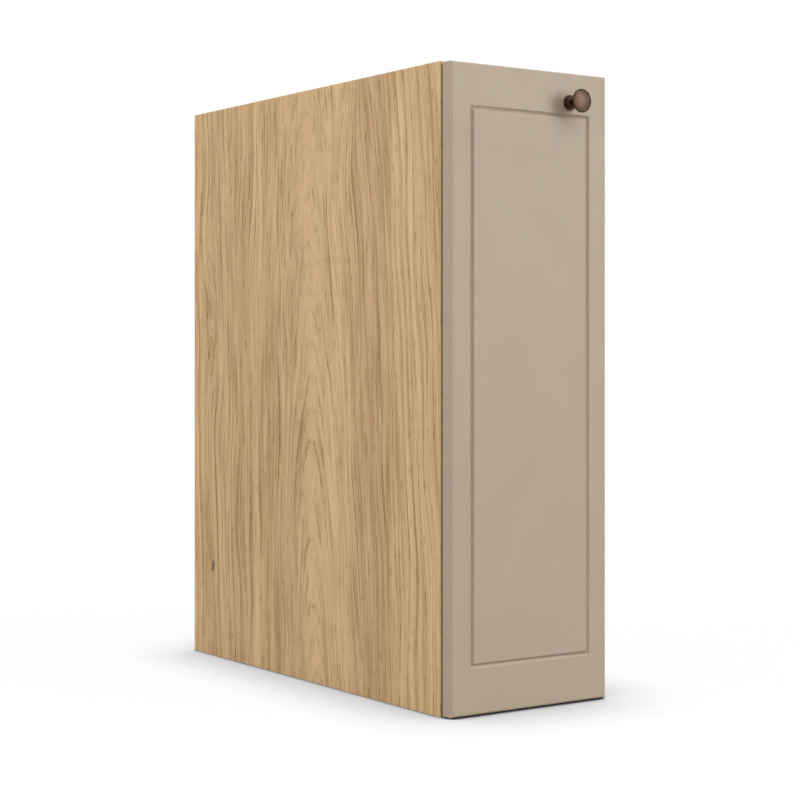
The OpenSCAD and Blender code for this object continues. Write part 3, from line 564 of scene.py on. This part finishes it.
def plated_metal(name, colour, roughness, grit):
    """Plated steel or zinc: a bright satin skin whose grit, of this size in mm, breaks its highlights."""
    made, tree, shader = surface(name, Metallic=1.0, Roughness=roughness)
    sheet = millimetres(tree)
    cloud = add(tree, "ShaderNodeTexNoise", {
        "Vector": sheet, "Scale": 1 / grit, "Detail": 4.0}).outputs["Fac"]
    dull = [c * 0.8 for c in colour]
    shade = add(tree, "ShaderNodeMix", {
        MIX_FACTOR: cloud, MIX_A: opaque(colour), MIX_B: opaque(dull)}, data_type="RGBA")
    rough = add(tree, "ShaderNodeMapRange", {
        "Value": cloud, "From Min": 0.3, "From Max": 0.7,
        "To Min": roughness - 0.07, "To Max": roughness + 0.1}).outputs["Result"]
    bump = add(tree, "ShaderNodeBump", {"Strength": 0.2, "Distance": 0.01 * MM, "Height": cloud})
    wired(tree, shader, Base_Color=shade.outputs[MIX_RESULT], Roughness=rough, Normal=bump.outputs["Normal"])
    return made


def turned_beech(name):
    """Beech dowel, turned and fluted: pale pinkish wood with short brown flecks."""
    made, tree, shader = surface(name, Roughness=0.6)
    sheet = millimetres(tree, TO_REAR, ACROSS_X)
    fleck = drawn_out(tree, sheet, 0.5, 3, Detail=2.0).outputs["Fac"]
    colour = add(tree, "ShaderNodeValToRGB", {"Fac": fleck}, stops=[
        (0.45, linear("#dcbb8f")), (0.68, linear("#a97f55"))]).outputs["Color"]
    wired(tree, shader, Base_Color=colour)
    return made


def clear_rubber(name):
    """Clear soft polyurethane: a milky see-through dome with a sharp gloss."""
    made, tree, shader = surface(name, Roughness=0.12, IOR=1.49, Transmission_Weight=0.75)
    sheet = millimetres(tree)
    haze = add(tree, "ShaderNodeTexNoise", {"Vector": sheet, "Scale": 0.8}).outputs["Fac"]
    colour = add(tree, "ShaderNodeValToRGB", {"Fac": haze}, stops=[
        (0.3, linear("#e6eaea")), (0.7, linear("#f6f8f8"))]).outputs["Color"]
    wired(tree, shader, Base_Color=colour)
    return made


# Shapes

def rounded_edges(shape, width, segments, corner):
    """Rounds the edges of a closed shape that are sharper than this corner, in degrees."""
    sharp = [e for e in shape.edges if e.is_manifold and e.calc_face_angle() > math.radians(corner)]
    bmesh.ops.bevel(
        shape, geom=sharp, offset=width, offset_type="OFFSET", affect="EDGES",
        segments=segments, profile=0.5, material=-1, clamp_overlap=True)


def finished(shape, name, node, material):
    """A piece of the cabinet from this shape: it rides with its node's body and stands for the node."""
    mesh = bpy.data.meshes.new(name)
    for face in shape.faces:
        face.smooth = True
    shape.to_mesh(mesh)
    shape.free()
    mesh.materials.append(material)
    piece = bpy.data.objects.new(name, mesh)
    bpy.context.scene.collection.objects.link(piece)
    # Faces keep the normals of their largest neighbour, so flats stay flat and rounds run smoothly
    shading = piece.modifiers.new("Shading", "WEIGHTED_NORMAL")
    shading.keep_sharp = True
    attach(piece, frame["nodes"][node]["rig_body"])
    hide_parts(node)
    return piece


def softened(node, width, material, segments=2, corner=28):
    """A copy of a CAD node with rounded edges, which catch the light as real ones do."""
    shape = bmesh.new()
    shape.from_mesh(frame["nodes"][node].data)
    # The loose triangles are merged into flat faces
    bmesh.ops.remove_doubles(shape, verts=shape.verts, dist=0.002 * MM)
    bmesh.ops.dissolve_limit(
        shape, angle_limit=math.radians(0.5), verts=shape.verts, edges=shape.edges)
    rounded_edges(shape, width, segments, corner)
    return finished(shape, node + "_finished", node, material)


def turned(name, node, outline, centre, material, rounding, steps=96, segments=3, corner=24):
    """A turned piece: its outline of radius and height in mm, spun about the line that leaves the front."""
    shape = bmesh.new()
    points = [shape.verts.new(centre + Vector((radius, -height, 0)) * MM) for radius, height in outline]
    rail = [shape.edges.new(pair) for pair in zip(points, points[1:])]
    bmesh.ops.spin(
        shape, geom=points + rail, cent=centre, axis=TO_FRONT, angle=2 * math.pi, steps=steps, use_merge=True)
    bmesh.ops.remove_doubles(shape, verts=shape.verts, dist=0.005 * MM)
    bmesh.ops.recalc_face_normals(shape, faces=shape.faces)
    rounded_edges(shape, rounding, segments, corner)
    return finished(shape, name, node, material)


def arc(middle, radius, first, last, count):
    """Points on an arc in the outline plane, from the first to the last angle in degrees."""
    turns = [math.radians(first + (last - first) * i / (count - 1)) for i in range(count)]
    return [(middle[0] + radius * math.cos(t), middle[1] + radius * math.sin(t)) for t in turns]


# Pieces

class CABINET_OT_boards(bpy.types.Operator):
    """Oak boards of the carcass: two sides, the bottom, two rails and the shelf"""
    bl_idname = "cabinet.boards"
    bl_label = "Carcass boards"

    def execute(self, context):
        edge = context.scene.cabinet_oak.softening
        softened("left_side_panel", edge, side_oak("oak_left_side"))
        softened("right_side_panel", edge, side_oak("oak_right_side", mirrored=True))
        for number, node in enumerate(["bottom_panel", "shelf", "front_top_rail", "rear_top_rail"]):
            softened(node, edge, level_oak(f"oak_{node}", 230 * number))
        return {"FINISHED"}


class CABINET_OT_bands(bpy.types.Operator):
    """Edge bands on the front edges of the boards"""
    bl_idname = "cabinet.bands"
    bl_label = "Edge bands"

    def execute(self, context):
        edge = context.scene.cabinet_oak.softening
        upright = oak_band("oak_band_upright", UP, (500, 60, 0))
        level = oak_band("oak_band_level", ACROSS_X, (300, 400, 0))
        for node in ("left_edge_band", "right_edge_band"):
            softened(node, edge, upright)
        for node in ("bottom_edge_band", "rail_edge_band", "shelf_edge_band"):
            softened(node, edge, level)
        return {"FINISHED"}


class CABINET_OT_back(bpy.types.Operator):
    """Hardboard back in the grooves of the boards"""
    bl_idname = "cabinet.back"
    bl_label = "Back panel"

    def execute(self, context):
        softened("back_panel", 0.15 * MM, printed_hardboard("hardboard_back"))
        return {"FINISHED"}


class CABINET_OT_front(bpy.types.Operator):
    """Routed front with its rounded outer edges and groove lips"""
    bl_idname = "cabinet.front"
    bl_label = "Routed front"

    def execute(self, context):
        front = context.scene.cabinet_front
        foil = matt_foil("taupe_matt_foil")
        softened("door_panel", front.softening, foil, segments=3, corner=20)
        return {"FINISHED"}


class CABINET_OT_knob(bpy.types.Operator):
    """Mushroom knob on its stepped rosette, and the screw that holds it"""
    bl_idname = "cabinet.knob"
    bl_label = "Knob"

    def execute(self, context):
        low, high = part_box("knob_rosette")
        centre = Vector(((low.x + high.x) / 2, high.y, (low.z + high.z) / 2))
        foot_r = (high.x - low.x) / 2 / MM
        rosette_h = (high.y - low.y) / MM
        bore_r = 2.5
        knob_low, knob_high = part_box("knob")
        head_r = (knob_high.x - knob_low.x) / 2 / MM
        reach = (high.y - knob_low.y) / MM
        # The rim's round stands behind the crown of the face
        rim_r, behind_crown = 1.5, 2.6
        rim_height = reach - behind_crown
        bronze = antique_bronze("antique_bronze", centre, head_r, rim_height)
        # The rosette rises in steps: a rounded foot, a sunk ring and a collar
        rosette = [
            (bore_r, 0), (foot_r - 0.3, 0), (foot_r, 0.3), (foot_r, 1.0), (foot_r - 0.5, 1.5),
            (foot_r - 1.7, 1.7), (foot_r - 1.9, 1.4), (foot_r - 2.3, 1.4), (foot_r - 2.5, 2.0),
            (foot_r - 2.8, rosette_h - 0.4), (foot_r - 3.3, rosette_h), (bore_r, rosette_h), (bore_r, 0)]
        turned("bronze_rosette", "knob_rosette", rosette, centre, bronze, 0.12 * MM)
        # The face is a shallow dome, flatter than an arc of this rise from rim to rim
        face_edge = head_r - rim_r
        rise, flatness = 3.0, 1.6
        dome_r = (face_edge ** 2 + rise ** 2) / 2 / rise * flatness
        dome_half = math.degrees(math.asin(face_edge * 0.94 / dome_r))
        # From the base up the flared neck, round the rim and over the face
        neck_r = foot_r - 5
        outline = [(0, rosette_h), (foot_r - 3.6, rosette_h), (foot_r - 3.6, rosette_h + 0.9)]
        outline += arc((neck_r + 1.6, rosette_h + 2.6), 1.7, 260, 180, 5)
        outline += [
            (neck_r, rosette_h + 5.5), (neck_r + 0.8, rosette_h + 8), (neck_r + 3, rosette_h + 11),
            (neck_r + 6, rim_height - 1.9)]
        outline += arc((face_edge, rim_height), rim_r, -80, 95, 14)
        outline += [(face_edge - 0.55, rim_height + rim_r - 0.28)]
        outline += arc((0, reach - dome_r), dome_r, 90 - dome_half, 90, 14)
        outline[-1] = (0, reach)
        turned("bronze_knob", "knob", outline, centre, bronze, 0.1 * MM)
        zinc = plated_metal("zinc_knob_screw", context.scene.cabinet_metal.zinc, 0.3, 1.5)
        softened("knob_screw", 0.1 * MM, zinc)
        return {"FINISHED"}


class CABINET_OT_bumpers(bpy.types.Operator):
    """Clear domed pads that take the knock of the closing front"""
    bl_idname = "cabinet.bumpers"
    bl_label = "Bumper pads"

    def execute(self, context):
        softened("door_bumpers", 0.5 * MM, clear_rubber("clear_pad"), segments=4)
        return {"FINISHED"}


class CABINET_OT_fittings(bpy.types.Operator):
    """Dowels, cam locks, bolts, shelf pins and the screws of the back"""
    bl_idname = "cabinet.fittings"
    bl_label = "Carcass fittings"

    def execute(self, context):
        metal = context.scene.cabinet_metal
        die_cast = plated_metal("zinc_die_cast", metal.zinc, 0.38, 2.0)
        bright = plated_metal("zinc_plated", metal.zinc, 0.26, 1.2)
        softened("cam_locks", metal.softening, die_cast)
        nickel = plated_metal("nickel_pin", metal.nickel, 0.22, 3.0)
        softened("shelf_pins", metal.softening, nickel)
        softened("back_screws", metal.softening, bright)
        softened("cam_bolts", metal.softening, bright)
        softened("dowels", 0.3 * MM, turned_beech("beech"))
        return {"FINISHED"}


class CABINET_OT_hinges(bpy.types.Operator):
    """Two concealed cup hinges with all their links, pins, springs and screws"""
    bl_idname = "cabinet.hinges"
    bl_label = "Hinges"

    def execute(self, context):
        metal = context.scene.cabinet_metal
        nickel = plated_metal("nickel_plated", metal.nickel, 0.33, 6.0)
        bright = plated_metal("zinc_screw", metal.zinc, 0.26, 1.2)
        spring = plated_metal("spring_steel", metal.steel, 0.34, 3.0)
        finishes = {
            "mounting_plate": (nickel, "hinge_nickel"), "arm": (nickel, "hinge_nickel"),
            "cup": (nickel, "hinge_nickel"), "outer_link": (nickel, "hinge_nickel"),
            "inner_link": (nickel, "hinge_nickel"), "arm_pins": (spring, "hinge_steel"),
            "cup_pins": (spring, "hinge_steel"), "spring": (spring, "hinge_steel"),
            "plate_screws": (bright, "zinc_fittings"), "arm_screws": (bright, "zinc_fittings"),
            "cup_screws": (bright, "zinc_fittings"),
        }
        for place in ("lower", "upper"):
            for part, (material, slot) in finishes.items():
                softened(f"{place}_{part}", metal.softening, material)
        return {"FINISHED"}


class CABINET_OT_studio(bpy.types.Operator):
    """White floor, soft light and the camera"""
    bl_idname = "cabinet.studio"
    bl_label = "Studio"

    def execute(self, context):
        studio = context.scene.cabinet_studio
        self.floor(context, studio)
        self.light(context, studio)
        self.camera(context, studio)
        context.scene.view_settings.view_transform = "Standard"
        return {"FINISHED"}

    def floor(self, context, studio):
        """A wide white floor with the cabinet's shadow, cast by the lamps in part and painted as shade near
        the cabinet in part. Light bounces off it as off a grey one.
        """
        made, tree, shader = surface("white_floor", Roughness=0.9)
        seen = seen_directly(tree)
        colour = add(tree, "ShaderNodeMix", {
            MIX_FACTOR: seen, MIX_A: opaque(studio.bounce), MIX_B: opaque(studio.floor)}, data_type="RGBA")
        tree.links.new(colour.outputs[MIX_RESULT], shader.inputs["Base Color"])
        # Painted shade: the floor's white glow greys softly towards the cabinet, and ends in a painted thin
        # dark line where the two meet
        corner = add(tree, "ShaderNodeAmbientOcclusion", {"Distance": PAINTED_SHADE_REACH}, samples=16).outputs["AO"]
        soft = add(tree, "ShaderNodeMath", {0: corner, 1: 0.75}, operation="POWER").outputs["Value"]
        painted_contact_shade = add(tree, "ShaderNodeAmbientOcclusion", {
            "Distance": PAINTED_LINE_REACH}, samples=16).outputs["AO"]
        line = add(tree, "ShaderNodeMapRange", {
            "Value": painted_contact_shade, "From Min": 0.5, "From Max": 0.7, "To Min": 0.1}).outputs["Result"]
        glow = add(tree, "ShaderNodeMath", {0: soft, 1: line}, operation="MULTIPLY").outputs["Value"]
        # The white glow that the camera sees, dimmed by the painted shade and the painted dark line
        white = add(tree, "ShaderNodeEmission", {
            "Color": (1, 1, 1, 1), "Strength": glow}).outputs["Emission"]
        share = add(tree, "ShaderNodeMath", {
            0: seen, 1: studio.lift}, operation="MULTIPLY").outputs["Value"]
        mixed = add(tree, "ShaderNodeMixShader", {0: share, 1: shader.outputs["BSDF"], 2: white})
        tree.links.new(mixed.outputs["Shader"], tree.nodes["Material Output"].inputs["Surface"])
        shape = bmesh.new()
        bmesh.ops.create_grid(shape, x_segments=8, y_segments=8, size=FLOOR_HALF)
        mesh = bpy.data.meshes.new("studio_floor")
        shape.to_mesh(mesh)
        shape.free()
        mesh.materials.append(made)
        ground = bpy.data.objects.new("studio_floor", mesh)
        context.scene.collection.objects.link(ground)

    def light(self, context, studio):
        """Soft light, stronger from above and white to the camera, and three soft lamps far away."""
        world = bpy.data.worlds.new("studio_sky")
        world.use_nodes = True
        context.scene.world = world
        tree = world.node_tree
        tree.nodes.clear()
        direction = add(tree, "ShaderNodeTexCoord").outputs["Generated"]
        height = add(tree, "ShaderNodeSeparateXYZ", {"Vector": direction}).outputs["Z"]
        glow = add(tree, "ShaderNodeMapRange", {
            "Value": height, "To Min": studio.horizon, "To Max": studio.zenith}).outputs["Result"]
        strength = add(tree, "ShaderNodeMix", {
            0: seen_directly(tree), 2: glow, 3: 1.0}, data_type="FLOAT").outputs[0]
        sky = add(tree, "ShaderNodeBackground", {"Color": (1, 1, 1, 1), "Strength": strength})
        add(tree, "ShaderNodeOutputWorld", {"Surface": sky.outputs["Background"]})
        for name, (towards, spread) in LAMPS.items():
            lamp = bpy.data.lights.new(f"{name}_lamp", "SUN")
            lamp.energy = getattr(studio, name)
            lamp.angle = math.radians(spread)
            hung = bpy.data.objects.new(f"{name}_lamp", lamp)
            context.scene.collection.objects.link(hung)
            hung.rotation_euler = Vector(towards).to_track_quat("Z", "Y").to_euler()

    def camera(self, context, studio):
        """The camera, level, at the height and turn of the photographed view."""
        lens = bpy.data.cameras.new("camera")
        lens.sensor_width = 36
        lens.lens = studio.lens
        lens.shift_x, lens.shift_y = CAMERA_SHIFT
        view = bpy.data.objects.new("camera", lens)
        context.scene.collection.objects.link(view)
        view.location = CAMERA_PLACE
        view.rotation_euler = (math.radians(90), 0, studio.azimuth)
        context.scene.camera = view


class CABINET_PT_panel(bpy.types.Panel):
    """Sizes, colours and steps of the cabinet"""
    bl_idname = "CABINET_PT_panel"
    bl_label = "Base cabinet"
    bl_space_type = "VIEW_3D"
    bl_region_type = "UI"
    bl_category = "Cabinet"

    def draw(self, context):
        for group, kind in SETTINGS.items():
            box = self.layout.box()
            box.label(text=kind.__doc__)
            for name in kind.__annotations__:
                box.prop(getattr(context.scene, group), name)
        for step in STEPS:
            self.layout.operator(step.bl_idname)


STEPS = [
    CABINET_OT_studio, CABINET_OT_boards, CABINET_OT_bands, CABINET_OT_back, CABINET_OT_front,
    CABINET_OT_knob, CABINET_OT_bumpers, CABINET_OT_fittings, CABINET_OT_hinges]


def register():
    for kind in (*SETTINGS.values(), *STEPS, CABINET_PT_panel):
        bpy.utils.register_class(kind)
    for name, kind in SETTINGS.items():
        setattr(bpy.types.Scene, name, PointerProperty(type=kind))


def unregister():
    for name in SETTINGS:
        delattr(bpy.types.Scene, name)
    for kind in reversed((*SETTINGS.values(), *STEPS, CABINET_PT_panel)):
        bpy.utils.unregister_class(kind)


def main():
    register()
    for step in STEPS:
        group, name = step.bl_idname.split(".")
        getattr(getattr(bpy.ops, group), name)()


if __name__ == "__main__":
    main()
